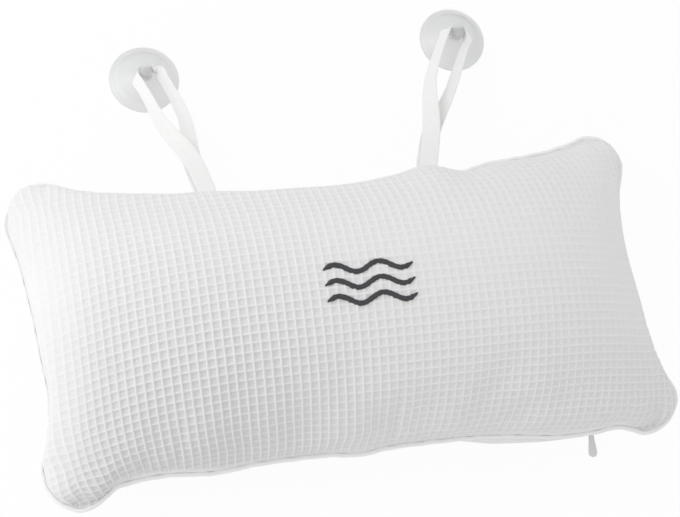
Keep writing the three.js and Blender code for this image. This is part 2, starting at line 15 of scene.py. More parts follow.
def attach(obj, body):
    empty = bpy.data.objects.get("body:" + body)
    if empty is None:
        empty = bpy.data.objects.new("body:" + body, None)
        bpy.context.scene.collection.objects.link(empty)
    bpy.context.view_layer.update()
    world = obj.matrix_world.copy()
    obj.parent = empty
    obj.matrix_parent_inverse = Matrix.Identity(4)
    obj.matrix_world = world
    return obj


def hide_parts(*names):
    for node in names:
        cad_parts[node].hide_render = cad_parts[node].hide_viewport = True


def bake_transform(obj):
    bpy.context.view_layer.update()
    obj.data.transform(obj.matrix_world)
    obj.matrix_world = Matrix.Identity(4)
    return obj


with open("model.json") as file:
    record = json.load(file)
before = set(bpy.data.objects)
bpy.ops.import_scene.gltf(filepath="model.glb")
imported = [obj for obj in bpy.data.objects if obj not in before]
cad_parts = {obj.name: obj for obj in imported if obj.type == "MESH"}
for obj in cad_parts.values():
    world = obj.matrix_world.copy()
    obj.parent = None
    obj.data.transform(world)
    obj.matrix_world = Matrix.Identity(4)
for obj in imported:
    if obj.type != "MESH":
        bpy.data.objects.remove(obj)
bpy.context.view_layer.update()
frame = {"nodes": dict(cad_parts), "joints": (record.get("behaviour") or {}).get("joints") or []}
scene = bpy.context.scene
MM = 0.001
FULL_TURN = 2 * math.pi
SIDES = ("left", "right")

# The seam, as it is cut and sewn
HALF_LENGTH, HALF_WIDTH = 195.5, 95.5
EAR_RADIUS = 18.0
EAR_ANGLE = 20.0  # degrees that an ear's round goes on past a quarter turn, at either end
EAR_PULL = 38.0  # how far the edges keep the heading that they leave an ear with
EDGE_DRAW = 9.0  # how far the edges are drawn in between the ears
ZIP_EDGE = EDGE_DRAW - HALF_WIDTH  # Y of the straight seam along the zip
ZIP_HALF_RUN = 151.0
SEAM_HEIGHT = 42.0
SEAM_STEP = 0.5  # between two points of the seam line

# Panels
CROWN = 63.3  # rise of the front over its edge
BACK_DEPTH = 50.0  # depth of the back with no floor under it
BACK_EASE = 4.0  # depth over which it eases on to the floor
BACK_LOWEST = 0.05  # from the floor to the cloth that lies on it
TUCK = 0.6  # from the seam out to the edge of a panel
RIM_GAP = 0.7  # from the height of the seam to a panel
EDGE_LIFT = 0.1  # how much more that is at the panel's edge
END_CURVE, SIDE_CURVE = 3, 2  # powers that round a panel's section off, along and across
WALL = 7.0  # how far in from the edge a panel is still rounded up

# Waffle cloth
CELL = 5.3  # one square of the weave
SHOULDER, FOOT = 0.08, 0.19  # from the middle of a raised thread to its edge and foot, in squares
SHOULDER_HEIGHT = 0.72  # share of the thread's height at its edge
CUTS = (0, SHOULDER, FOOT, 1 - FOOT, 1 - SHOULDER, 1)  # where the faces of one square meet
HOLLOW = 1.35  # depth of a square
KEPT_PAST = 1.05  # squares kept past the seam until the cloth is cut to it


# Small helpers

def smooth(value):
    share = np.clip(value, 0, 1)
    return share * share * (3 - 2 * share)


def ramp(value, start, end):
    """Eases from 0 where the value is start to 1 where it is end."""
    return smooth((value - start) / (end - start))


def unit(vectors):
    return vectors / np.linalg.norm(vectors, axis=-1, keepdims=True)


def signed_power(value, power):
    return np.sign(value) * abs(value) ** power


def wobble(along, *waves):
    """Sum of sine waves along a piece, each given by its height, pace and start."""
    return sum(height * np.sin(along * pace + start) for height, pace, start in waves)


def travelled(line):
    """How far along a line each of its points lies."""
    steps = np.linalg.norm(np.diff(line, axis=0), axis=1)
    return np.concatenate(([0], np.cumsum(steps)))


def curve_run(start, leave, arrive, end, steps=120):
    """Points of a cubic curve, without its last one."""
    share = np.linspace(0, 1, steps, endpoint=False)[:, None]
    rest = 1 - share
    return (start * rest**3 + 3 * leave * share * rest**2
            + 3 * arrive * share**2 * rest + end * share**3)


def linked(name, data):
    made = bpy.data.objects.new(name, data)
    scene.collection.objects.link(made)
    return made


def evaluated(made):
    return made.evaluated_get(bpy.context.evaluated_depsgraph_get())


def mesh_from(bm, name):
    mesh = bpy.data.meshes.new(name)
    bm.to_mesh(mesh)
    bm.free()
    return mesh


def set_spots(mesh, spots):
    mesh.vertices.foreach_set("co", (spots * MM).astype(np.float32).ravel())
    mesh.update()


def spots_of(mesh):
    spots = np.zeros(len(mesh.vertices) * 3, np.float32)
    mesh.vertices.foreach_get("co", spots)
    return spots.reshape(-1, 3).astype(float) / MM


def laid(along, across, place, join=0.0, size=(1, 1)):
    """A flat grid laid on the surface place(s, t), s and t from 0 to 1, in millimetres. Its flat
    coordinates, times size, stay on it as the UV map "weave". Points closer than join are merged."""
    bm = bmesh.new()
    bmesh.ops.create_grid(bm, x_segments=along, y_segments=across, size=0.5)
    weave = bm.loops.layers.uv.new("weave")
    for face in bm.faces:
        for loop in face.loops:
            flat = loop.vert.co
            loop[weave].uv = ((flat.x + 0.5) * size[0], (flat.y + 0.5) * size[1])
    flat = np.array([vert.co[:2] for vert in bm.verts]) + 0.5
    for vert, spot in zip(bm.verts, place(flat[:, 0], flat[:, 1])):
        vert.co = spot * MM
    if join:
        bmesh.ops.remove_doubles(bm, verts=bm.verts, dist=join * MM)
    bmesh.ops.recalc_face_normals(bm, faces=bm.faces)
    return bm


def thicken(bm, thickness):
    bmesh.ops.solidify(bm, geom=bm.faces, thickness=thickness * MM)
    bmesh.ops.recalc_face_normals(bm, faces=bm.faces)


def piece(name, shape, finish, body, slot, *nodes):
    """The finished object of a mesh or bmesh, riding on a body and standing for the CAD nodes."""
    mesh = shape if isinstance(shape, bpy.types.Mesh) else mesh_from(shape, name)
    made = linked(name, mesh)
    mesh.materials.append(finish)
    mesh.shade_smooth()
    if body:
        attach(made, body)
    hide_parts(*nodes)
    return made


def joint_spot(name):
    return np.array(next(j for j in frame["joints"] if j["name"] == name)["pos_m"]) / MM


# Materials

def add_node(tree, kind, inputs=None, **settings):
    """A new shader node. Each input is a value, or the output that it is joined to."""
    node = tree.nodes.new("ShaderNode" + kind)
    for key, value in settings.items():
        setattr(node, key, value)
    for socket, value in (inputs or {}).items():
        if isinstance(value, bpy.types.NodeSocket):
            tree.links.new(value, node.inputs[socket])
        else:
            node.inputs[socket].default_value = value
    return node


class Finish:
    """A material with its shader, and short ways to add and join nodes."""

    def __init__(self, name, colour, roughness, **sockets):
        self.material = bpy.data.materials.new(name)
        self.material.use_nodes = True
        self.tree = self.material.node_tree
        self.shader = self.tree.nodes["Principled BSDF"]
        self.shader.inputs["Base Color"].default_value = (*colour, 1)
        self.shader.inputs["Roughness"].default_value = roughness
        for socket, value in sockets.items():
            self.shader.inputs[socket.replace("_", " ")].default_value = value

    def add(self, kind, inputs=None, **settings):
        return add_node(self.tree, kind, inputs, **settings)

    def math(self, operation, *values):
        return self.add("Math", dict(enumerate(values)), operation=operation).outputs[0]

    def to_shader(self, socket, value):
        self.tree.links.new(value, self.shader.inputs[socket])

    def threads(self, along, across):
        """Height of a plain weave with so many threads to one unit of the weave map, 0 to 1."""
        flat = self.add("SeparateXYZ", {0: self.add("UVMap", uv_map="weave").outputs["UV"]}).outputs
        warp, weft = (self.math("SINE", self.math("MULTIPLY", flat[axis], FULL_TURN * count))
                      for axis, count in enumerate((along, across)))
        return self.math("MULTIPLY_ADD", self.math("MULTIPLY", warp, weft), 0.5, 0.5)

    def noise(self, scale, detail):
        spot = self.add("TexCoord").outputs["Object"]
        return self.add("TexNoise", {"Vector": spot, "Scale": scale, "Detail": detail}).outputs["Fac"]

    def shades(self, share, first, second):
        """Base colour that goes from first to second with share."""
        inputs = {0: share, 6: (*first, 1), 7: (*second, 1)}
        self.to_shader("Base Color", self.add("Mix", inputs, data_type="RGBA").outputs[2])

    def bump(self, height, strength, distance):
        inputs = {"Height": height, "Strength": strength, "Distance": distance * MM}
        self.to_shader("Normal", self.add("Bump", inputs).outputs[0])


def waffle_finish():
    """White cotton with painted shade that greys its hollows, with a faint mottle, fine threads and
    fuzz.
    """
    cotton = Finish("waffle cotton", (0.88, 0.88, 0.875), 0.92, Sheen_Weight=0.12, Sheen_Roughness=0.5)
    # the share of each hollow's depth, kept on the mesh, also sets how much painted shade it gets
    hollow_depth_and_shade = cotton.add("Attribute", attribute_name="hollow_depth_and_shade").outputs["Fac"]
    mottle = cotton.math("MULTIPLY_ADD", cotton.noise(260, 4), 0.16, -0.08)
    # from the raised threads' own colour to the painted shade of the deepest hollows
    cotton.shades(cotton.math("ADD", hollow_depth_and_shade, mottle), (0.90, 0.90, 0.895), (0.75, 0.75, 0.755))
    fuzz = cotton.noise(1500, 2)
    cotton.bump(cotton.math("MULTIPLY_ADD", fuzz, 0.6, cotton.threads(12, 12)), 0.35, 0.25)
    return cotton.material


def plain_cotton(name, colour, along, across, shade=0.93):
    """Plain woven cotton with so many threads to a millimetre."""
    cotton = Finish(name, colour, 0.88, Sheen_Weight=0.1, Sheen_Roughness=0.5)
    cotton.shades(cotton.noise(420, 4), colour, tuple(shade * channel for channel in colour))
    cotton.bump(cotton.threads(along, across), 0.3, 0.15)
    return cotton.material


def soft_plastic(name, colour, roughness, **sockets):
    """Moulded plastic with a faint grain that makes it a little more or less rough."""
    plastic = Finish(name, colour, roughness, **sockets)
    grain = plastic.noise(900, 3)
    plastic.to_shader("Roughness", plastic.math("MULTIPLY_ADD", grain, 0.12, roughness - 0.06))
    plastic.bump(grain, 0.08, 0.1)
    return plastic.material


WAFFLE = waffle_finish()
PIPING_CLOTH = plain_cotton("piping cotton", (0.96, 0.96, 0.955), 1.6, 1.6)
TAPE_CLOTH = plain_cotton("strap cotton tape", (0.93, 0.93, 0.925), 1.1, 1.4)
LINING = plain_cotton("lining cotton", (0.90, 0.90, 0.88), 1.8, 1.8)
ZIP_CLOTH = plain_cotton("zip tape", (0.86, 0.86, 0.855), 1.7, 1.3)
ZIP_NYLON = soft_plastic("zip nylon", (0.83, 0.83, 0.825), 0.42)
PULL_PLASTIC = soft_plastic("zip pull plastic", (0.72, 0.72, 0.715), 0.35)
CUP_PLASTIC = soft_plastic(
    "clear soft plastic", (0.90, 0.905, 0.905), 0.36, Transmission_Weight=0.7, IOR=1.46,
    Coat_Weight=0.5, Coat_Roughness=0.1,
)
THREAD = plain_cotton("grey embroidery thread", (0.075, 0.078, 0.085), 3.0, 3.0, shade=0.7)


# Seam

def ear_spot(side_x, side_y, degrees):
    angle = math.radians(degrees)
    middle = np.array((side_x * (HALF_LENGTH - EAR_RADIUS), side_y * (HALF_WIDTH - EAR_RADIUS)))
    return middle + EAR_RADIUS * np.array((math.cos(angle), math.sin(angle)))


def ear_pull(side_x, side_y, degrees, reach):
    """The spot that lies so far straight on from a spot of an ear or, below 0, straight back."""
    angle = math.radians(degrees + math.copysign(90, reach))
    heading = np.array((math.cos(angle), math.sin(angle)))
    return ear_spot(side_x, side_y, degrees) + abs(reach) * heading


def ear_run(side_x, side_y, middle):
    turns = np.linspace(middle - 45 - EAR_ANGLE, middle + 45 + EAR_ANGLE, 60, endpoint=False)
    return np.array([ear_spot(side_x, side_y, degrees) for degrees in turns])


def edge_run(start, end):
    return curve_run(
        ear_spot(*start), ear_pull(*start, EAR_PULL), ear_pull(*end, -EAR_PULL), ear_spot(*end),
    )


def seam_line():
    """The seam seen from above, anticlockwise, as evenly spaced points, with the way out at each and
    the length of the seam."""
    turn = EAR_ANGLE
    ears = ((1, -1, 315), (1, 1, 45), (-1, 1, 135), (-1, -1, 225))
    zip_left = np.array((-ZIP_HALF_RUN, ZIP_EDGE))
    zip_right = zip_left * (-1, 1)
    bite = np.array(((HALF_LENGTH - EAR_RADIUS - ZIP_HALF_RUN) / 3, 0))
    runs = [
        np.linspace(zip_left, zip_right, 200, endpoint=False),
        curve_run(zip_right, zip_right + bite, ear_pull(1, -1, 270 - turn, -bite[0]),
                  ear_spot(1, -1, 270 - turn)),
        ear_run(*ears[0]),
    ]
    for quarter, (before, after) in enumerate(zip(ears, ears[1:])):
        square = 90 * quarter
        runs.append(edge_run((*before[:2], square + turn), (*after[:2], square - turn)))
        runs.append(ear_run(*after))
    runs.append(curve_run(ear_spot(-1, -1, 270 + turn), ear_pull(-1, -1, 270 + turn, bite[0]),
                          zip_left - bite, zip_left))
    rough = np.concatenate(runs + [runs[0][:1]])
    reached = travelled(rough)
    even = np.linspace(0, reached[-1], int(reached[-1] / SEAM_STEP), endpoint=False)
    line = np.stack([np.interp(even, reached, rough[:, axis]) for axis in (0, 1)], axis=1)
    heading = unit(np.roll(line, -3, axis=0) - np.roll(line, 3, axis=0))
    return line, np.stack((heading[:, 1], -heading[:, 0]), axis=1), reached[-1]


SEAM, SEAM_OUT, SEAM_LENGTH = seam_line()
seam_tree = kdtree.KDTree(len(SEAM))
for number, spot in enumerate(SEAM):
    seam_tree.insert((*spot, 0), number)
seam_tree.balance()


def inside_seam(plan):
    """How far each point lies inside the panel's tucked edge, the nearest spot on that edge and the
    way out there."""
    nearest = np.array([seam_tree.find((x, y, 0))[1] for x, y in plan])
    way_out = SEAM_OUT[nearest]
    edge = SEAM[nearest] + TUCK * way_out
    return np.einsum("ij,ij->i", edge - plan, way_out), edge, way_out


# How the soft cover has settled: a spot of its edge, how far along and across the cloth round it
# comes with it, and the move
SETTLED = {
    "top, left of the middle": ((-50, 90), (110, 45), (-2.5, -9.0)),
    "left end": ((-192, 32), (70, 44), (-8.8, 0)),
    "left end, low down": ((-195, -12), (30, 20), (-2.4, 0)),
    "right end": ((194, 30), (60, 40), (-3.8, 0)),
    "lower left ear": ((-172, -98), (26, 30), (1.0, -5.5)),
    "lower right ear": ((197, -76), (40, 22), (5.0, 1.0)),
    "upper right ear": ((178, 98), (25, 25), (-1.0, 2.5)),
    "upper left ear": ((-203, 70), (34, 20), (-5.0, 0)),
    "top of that ear": ((-178, 98), (20, 20), (0, 2.0)),
    "top, at the left strap": ((-75, 92), (20, 14), (-3.2, 1.5)),
    "right of the zip pull": ((160, -88), (22, 18), (4.0, 0)),
    "top, in the middle": ((5, 90), (28, 24), (0, -2.5)),
    "top, at the right strap": ((58, 90), (15, 30), (0, 4.0)),
    "top, right of that strap": ((85, 90), (13, 22), (0, -3.2)),
    "bottom, under the left strap": ((-97, -90), (20, 25), (0, -2.5)),
    "bottom, in the middle": ((-8, -90), (14, 20), (0, -2.2)),
    "bottom, left of the zip pull": ((130, -90), (42, 30), (0, -7.0)),
}


def settle(plan):
    """How far the cover has moved, seen from above, from the shape that it was sewn to."""
    move = np.zeros_like(plan)
    for spot, reach, way in SETTLED.values():
        share = np.exp(-np.sum(((plan - spot) / reach) ** 2, axis=1))
        move += np.outer(share, way)
    return move


SWELL_ENDS, SWELL_TOP = 3.0, 3.5  # how far the filling pushes the front out at the ends and the top
SWELL_REACH = 16.0  # how far in from the seam


def swell(edge, way_out, inside):
    """How far the filling pushes the front cloth out over the seam: at the ends and along the left
    half of the top, but not along the zip, at the seam itself or further in."""
    top, end = ramp(way_out[:, 1], 0, 0.5), ramp(abs(way_out[:, 0]), 0, 2 / 3)
    most = SWELL_ENDS * end + SWELL_TOP * top * (1 - ramp(edge[:, 0], 0, 100))
    return most * np.sin(math.pi * np.clip(inside / SWELL_REACH, 0, 1) ** 0.6) ** 2


# Lie of the cloth on the cushion

END_DROOP, DROOP_FROM = 16.0, 0.28  # how far the rows run down by the left end, and from what share
EAR_LEAN = 6.0  # how far the columns lean over in the lower left ear
TOP_GATHER, ZIP_GATHER, END_GATHER = 0.2, 0.75, 0.35  # share of gathered cloth; more to the right
SPARE_COLUMNS, SPARE_ROWS = 1.1, 1.24  # cloth laid out before it is cut, for 1 that is needed


def reaches(x, y):
    """Where the drawn-in edges lie, along and across, for a point of the panel."""
    return (HALF_LENGTH - EDGE_DRAW * (1 - np.minimum(1, abs(y) / HALF_WIDTH) ** 2),
            HALF_WIDTH - EDGE_DRAW * (1 - np.minimum(1, abs(x) / HALF_LENGTH) ** 4))


def fullness(x, y, inset=0):
    """How full the cushion is, along and across: 1 in the middle, 0 at its edge or inset from it."""
    reach_x, reach_y = reaches(x, y)
    return (np.clip(1 - (abs(x) / (reach_x - inset)) ** END_CURVE, 0, 1),
            np.clip(1 - (abs(y) / (reach_y - inset)) ** SIDE_CURVE, 0, 1))


class Dome:
    """How a flat piece of waffle cloth lies over the front (facing 1) or back (-1) of the cushion.
    Cells keep their size on the crown and close up along the seam, where the cloth is gathered."""

    def __init__(self, rise, facing):
        self.rise = rise
        self.facing = facing
        self.end_table, self.half_length = self.profile(END_CURVE, HALF_LENGTH - EDGE_DRAW)
        self.side_table, self.half_width = self.profile(SIDE_CURVE, HALF_WIDTH - EDGE_DRAW)
        self.columns = math.ceil(SPARE_COLUMNS * self.half_length / CELL)
        self.rows = math.ceil(SPARE_ROWS * self.half_width / CELL)

    def profile(self, power, reach):
        """Distance from the middle for each share of the cloth's length, for 21 heights of crown,
        and the length of cloth over the full height."""
        shares = np.linspace(0, 1, 201)
        out = np.sin(shares * math.pi / 2)
        rows = []
        for part in np.linspace(0, 1, 21):
            up = part * self.rise / reach * np.sqrt(1 - out**power)
            length = travelled(np.column_stack((out, up)))
            rows.append(np.interp(shares, length / length[-1], out))
        return np.array(rows), reach * length[-1]

    @staticmethod
    def look_up(table, part, share):
        last_row, last_column = table.shape[0] - 1, table.shape[1] - 1
        high = np.clip(part, 0, 1) * last_row
        wide = np.minimum(share, 1) * last_column
        row = np.minimum(high.astype(int), last_row - 1)
        column = np.minimum(wide.astype(int), last_column - 1)
        a, b = high - row, wide - column
        found = ((1 - a) * (1 - b) * table[row, column] + a * (1 - b) * table[row + 1, column]
                 + (1 - a) * b * table[row, column + 1] + a * b * table[row + 1, column + 1])
        return found + np.maximum(0, share - 1)

    def plan(self, u, v):
        """Where the points u, v of the flat cloth, in cells, lie seen from above. Along and across
        each depend on the other, so they are found in rounds."""
        s, t = u * CELL / self.half_length, v * CELL / self.half_width
        droop = np.clip((-s - DROOP_FROM) / (1 - DROOP_FROM), 0, 1.3) ** 2
        t = t - END_DROOP / self.half_width * droop
        s = s + EAR_LEAN / self.half_length * ramp(-s, 0.55, 0.9) * ramp(-t, 0.5, 0.95)
        x, y = s * HALF_LENGTH, t * HALF_WIDTH
        for _ in range(30):
            reach_x, reach_y = reaches(x, y)
            end, side = np.sqrt(fullness(x, y))
            gather = np.where(y > 0, TOP_GATHER, ZIP_GATHER)
            side = 1 - (gather + (1 - gather) * ramp(x, -80, 40)) * (1 - side)
            end = 1 - END_GATHER * (1 - end)
            new_x = np.sign(s) * reach_x * self.look_up(self.end_table, side, abs(s))
            new_y = np.sign(t) * reach_y * self.look_up(self.side_table, end, abs(t))
            x, y = (x + new_x) / 2, (y + new_y) / 2
        return np.stack((x, y), axis=1)

    def height(self, plan, inside):
        """Height of the cloth, up from the seam at the front, down to the floor at the back."""
        end, side = fullness(*plan.T)
        wall = np.sqrt(1 - (1 - np.clip(inside / WALL, 0, 1)) ** 2)
        rise = self.rise * np.sqrt(end * side) * wall
        gap = RIM_GAP + EDGE_LIFT * (1 - ramp(inside, 0, 3))
        if self.facing > 0:
            return SEAM_HEIGHT + gap + rise
        room = SEAM_HEIGHT - gap
        past = rise - room + BACK_EASE
        return room - np.where(past < 0, rise, room - BACK_EASE * np.exp(-past / BACK_EASE))


def trim(bm, inside):
    """Deletes the cloth that lies past the seam, up to the faces that cross it. Gives the numbers of
    the points that stay."""
    number = bm.verts.layers.int.new("number")
    for index, vert in enumerate(bm.verts):
        vert[number] = index
    far = [v for v in bm.verts if inside[v[number]] < -KEPT_PAST * CELL]
    bmesh.ops.delete(bm, geom=far, context="VERTS")
    spare = [f for f in bm.faces if all(inside[v[number]] <= 0 for v in f.verts)]
    bmesh.ops.delete(bm, geom=spare, context="FACES")
    bmesh.ops.delete(bm, geom=[v for v in bm.verts if not v.link_faces], context="VERTS")
    kept = [v[number] for v in bm.verts]
    bm.verts.layers.int.remove(number)
    return kept


def cut_cloth(dome, places, trimmed=True):
    """A flat grid of the cloth whose faces meet at these places of each cell, cut to the seam or, not
    trimmed, a cell past it. Gives the bmesh, the flat coordinates in cells, the points from above,
    how far they lie inside the seam and where they lie on the filled cushion."""
    bm = bmesh.new()
    columns, rows = dome.columns, dome.rows
    cuts = len(places) - 1
    bmesh.ops.create_grid(bm, x_segments=2 * columns * cuts, y_segments=2 * rows * cuts, size=1)
    flat = np.array([vert.co[:2] for vert in bm.verts]) * (columns, rows)
    cell = np.floor(flat + 1e-4)
    flat = cell + np.interp(flat - cell, np.linspace(0, 1, cuts + 1), places)
    plan = dome.plan(*flat.T)
    # the squares keep their place when the cloth settles
    plan = dome.plan(*(flat - settle(plan) / CELL).T)
    inside, edge, way_out = inside_seam(plan)
    kept = trim(bm, inside)
    flat, plan, inside, edge, way_out = (
        values[kept] for values in (flat, plan, inside, edge, way_out))
    if trimmed:
        plan = np.where(inside[:, None] < 0, edge, plan)
    inside = np.maximum(inside, 0)
    spots = np.column_stack((plan, dome.height(plan, inside)))
    if dome.facing > 0:
        spots[:, :2] += way_out * swell(edge, way_out, inside)[:, None]
    return bm, flat, plan, inside, spots


# Puckers, from a run of cloth

EASE = 0.05  # share of spare cloth at the seam
EASE_FROM, EASE_DEPTH = 6.0, 18.0  # from where it is used up, and how far in
RIPPLE = 0.15  # height of the faint waves that the run starts from
PUCKER_CAP = 2.0  # the most that a pucker moves the cloth
FINE_BLUR, BROAD_BLUR = 2, 14  # rounds; what lies between the two are the puckers
CLOTH_FRAMES = 45
CLOTH = {
    "quality": 8,
    "mass": 0.12,
    "air_damping": 4,
    "tension_stiffness": 60,
    "compression_stiffness": 60,
    "shear_stiffness": 20,
    "bending_stiffness": 0.2,
    "vertex_group_mass": "sewn",
    "vertex_group_shrink": "ease",
    "shrink_min": -EASE,
    "use_pressure": True,
    "uniform_pressure_force": 1.5,
}


def cloth_at_rest(bm, start, facing, plan, inside):
    """The cloth to run, sewn in all round, with spare cloth along the zip."""
    mesh = mesh_from(bm, "cloth at rest")
    set_spots(mesh, start)
    if facing < 0:
        mesh.flip_normals()
    cloth = linked("cloth at rest", mesh)
    sewn = cloth.vertex_groups.new(name="sewn")
    sewn.add([int(i) for i in np.flatnonzero(inside <= 0.01)], 1.0, "REPLACE")
    easy = cloth.vertex_groups.new(name="ease")
    gathered = ramp(-plan[:, 1], 20, 60) * (1 - ramp(abs(plan[:, 0]), 140, 180))
    gathered = gathered * (1 - ramp(inside, EASE_FROM, EASE_FROM + EASE_DEPTH))
    for index, weight in enumerate(1 - gathered):
        easy.add([index], float(weight), "REPLACE")
    return cloth


def run_cloth(cloth):
    """Where the points of the cloth lie after the run."""
    run = cloth.modifiers.new("cloth", "CLOTH")
    for setting, value in CLOTH.items():
        setattr(run.settings, setting, value)
    run.settings.effector_weights.gravity = 0
    run.collision_settings.use_collision = False
    run.point_cache.frame_end = CLOTH_FRAMES
    for number in range(1, CLOTH_FRAMES + 1):
        scene.frame_set(number)
    spots = spots_of(evaluated(cloth).to_mesh())
    bpy.data.objects.remove(cloth)
    scene.frame_set(1)
    return spots


def blurred(grid, rounds):
    for _ in range(rounds):
        for axis in (0, 1):
            grid = (np.roll(grid, 1, axis) + grid + np.roll(grid, -1, axis)) / 3
    return grid


def averaged(grid, there, rounds):
    """The grid blurred over the corners that are there."""
    return blurred(grid, rounds) / np.maximum(blurred(there, rounds), 0.05)


def puckers(dome):
    """How far each cell corner moves, as a grid, when the filling pushes the cloth out. Only what is
    fine is kept, because the plump shape itself is already the dome's."""
    columns, rows = dome.columns, dome.rows
    moved = np.zeros((2 * columns + 1, 2 * rows + 1, 3))
    bm, flat, plan, inside, still = cut_cloth(dome, (0, 1), trimmed=False)
    ripple = RIPPLE * np.sin(flat[:, 0] * 1.7) * np.sin(flat[:, 1] * 1.9 + flat[:, 0] * 0.31)
    start = still + np.outer(ripple * ramp(inside, 0, 6), (0, 0, dome.facing))
    shift = run_cloth(cloth_at_rest(bm, start, dome.facing, plan, inside)) - still
    across, down = (np.rint(flat).astype(int) + (columns, rows)).T
    moved[across, down] = shift
    there = np.zeros_like(moved)
    there[across, down] = 1
    moved = there * (averaged(moved, there, FINE_BLUR) - averaged(moved, there, BROAD_BLUR))
    size = np.linalg.norm(moved, axis=2, keepdims=True)
    return moved * np.minimum(1, PUCKER_CAP / np.maximum(size, 1e-6))


def sampled(grid, u, v):
    """Smooth values between the corners of a grid, by cubics through four corners each way."""
    def weights(f):
        return np.stack((-f**3 + 2 * f**2 - f, 3 * f**3 - 5 * f**2 + 2,
                         -3 * f**3 + 4 * f**2 + f, f**3 - f**2)) / 2
    i, j = np.floor(u).astype(int), np.floor(v).astype(int)
    across, down = weights(u - i), weights(v - j)
    total = 0
    for a in range(4):
        for b in range(4):
            row = np.clip(i + a - 1, 0, grid.shape[0] - 1)
            column = np.clip(j + b - 1, 0, grid.shape[1] - 1)
            total = total + (across[a] * down[b])[:, None] * grid[row, column]
    return total


# Relief of the waffle, given in shares of the full depth and in the millimetres between which each
# share comes in

def thread_line(along):
    """1 on a raised thread of the waffle, 0 in the dip between two."""
    away = abs(along - np.rint(along))
    return np.interp(away, (0, SHOULDER, FOOT), (1, SHOULDER_HEIGHT, 0))


def leftward(x, y):
    """How far to the left a point lies, measured from a line that leans a little."""
    return 0.2 * y - x


def relief(x, y):
    """How deep the squares are, which also sets how much painted shade their hollows get: full where
    the cloth lies easy, less where it is stretched over the top and the right end, and less in the
    left end, where the light falls full on the cloth and its hollows are painted lighter."""
    easy = 1 - 0.4 * ramp(x, -100, 10) * ramp(y, 70, 20)
    top = 0.5 * ramp(y, -55, 65)
    # the left end, where the light falls full on the cloth: shallower squares whose hollows are
    # painted lighter
    left = 0.85 * ramp(leftward(x, y), 146, 191) * (1 - 0.5 * ramp(y, 20, 60))
    right = (0.25 * ramp(x, -30, 110) + 0.35 * ramp(x, 135, 175)) * ramp(y, -70, -25)
    return easy * (1 - top) * (1 - left) * (1 - right)


def ribs(flat, x, y):
    """How far the threads stand up. The columns are pulled flatter to the right, and the rows in the
    left end and along the bottom on that side."""
    across = 0.25 * ramp(x, -40, 40) + 0.3 * ramp(x, 110, 170)
    columns = 1 - across * ramp(abs(y + 18), 77, 27)
    rows = 0.88 - 0.35 * ramp(leftward(x, y), 130, 180)
    rows -= 0.3 * ramp(y, 0, -80) * ramp(abs(x + 80), 110, 50)
    return np.maximum(columns * thread_line(flat[:, 0]), rows * thread_line(flat[:, 1]))


FOLDS = {  # foot, head and depth of the soft folds that run up from the zip
    "under the middle": ((10, -88), (13, -55), 1.5),
    "under the left strap": ((-121, -90), (-117, -62), 1.2),
    "beside the lower left ear": ((-146, -90), (-133, -76), 1.4),
}
FOLD_WIDTH = 2.6


def folds(plan):
    """How far the front cloth is folded in."""
    deep = np.zeros(len(plan))
    for foot, head, depth in FOLDS.values():
        run = np.subtract(head, foot)
        along = np.clip((plan - foot) @ run / (run @ run), 0, 1)
        away = np.linalg.norm(plan - foot - along[:, None] * run, axis=1)
        deep += depth * np.exp(-((away / FOLD_WIDTH) ** 2)) * (1 - along**2)
    return deep


# Front and back cloth

ZIP_LEAN = math.radians(12.83)
ZIP_ROOM = 2.2  # from the face of the zip tape in to the back cloth


def by_zip(plan):
    """1 along the zip, 0 at the ears and further in."""
    return ramp(abs(plan[:, 0]), 165, 153) * ramp(-plan[:, 1], 40, 70)


def zip_channel(spots):
    """The back cloth's points moved in behind the zip, which lies in a shallow channel."""
    out, up = spots[:, 1] - ZIP_EDGE, spots[:, 2] - SEAM_HEIGHT
    cos, sin = math.cos(ZIP_LEAN), math.sin(ZIP_LEAN)
    deep, high = out * cos + up * sin, up * cos - out * sin
    push = np.maximum(0, ZIP_ROOM - deep) * by_zip(spots)
    push *= ramp(high, -1, -2.2) * ramp(high, -17, -11)
    return spots + np.outer(push, (0, cos, sin))


def settled_cloth(spots, plan, inside, facing):
    """The points of a panel where the cover has settled. The back keeps its place along the zip, and
    it lies on the floor and clear of the zip."""
    stays = (facing < 0) * ramp(inside, 0, 2) * by_zip(plan)
    spots[:, :2] += settle(spots[:, :2]) * (1 - stays)[:, None]
    if facing > 0:
        return spots
    spots[:, 2] = np.maximum(spots[:, 2], BACK_LOWEST)
    return zip_channel(spots)


def keep_weave(mesh, flat, hollow_depth_and_shade):
    """Puts the flat coordinates of the cloth and the depth of its hollows on the mesh. The depth also
    sets the hollows' painted shade.
    """
    corners = np.zeros(len(mesh.loops), np.int32)
    mesh.loops.foreach_get("vertex_index", corners)
    weave = mesh.uv_layers.new(name="weave")
    weave.data.foreach_set("uv", flat[corners].astype(np.float32).ravel())
    mark = mesh.attributes.new("hollow_depth_and_shade", "FLOAT", "POINT")
    mark.data.foreach_set("value", hollow_depth_and_shade.astype(np.float32))
    mesh.update()


